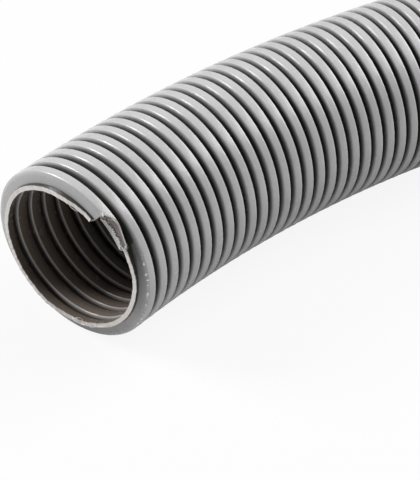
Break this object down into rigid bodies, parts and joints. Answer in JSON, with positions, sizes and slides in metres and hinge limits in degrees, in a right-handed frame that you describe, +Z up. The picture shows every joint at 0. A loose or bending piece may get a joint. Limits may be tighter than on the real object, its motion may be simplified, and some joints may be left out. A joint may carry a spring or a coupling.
{
  "type": "corrugated conduit",
  "caption": "Light grey corrugated flexible conduit for cables, hollow and open at both ends, lying with one end gently bent and knife cut.",
  "frame": {"origin": "centre of the bore at the square-cut end face", "axes": "+X along the straight run towards the bent end, +Z up from the floor, the bend turns towards +Y"},
  "size_m": [1.0037, 0.0795, 0.05],
  "materials": {
    "conduit_plastic": "satin moulded plastic, light grey"
  },
  "bodies": {
    "root": {"conduit": "conduit_plastic"}
  },
  "joints": []
}
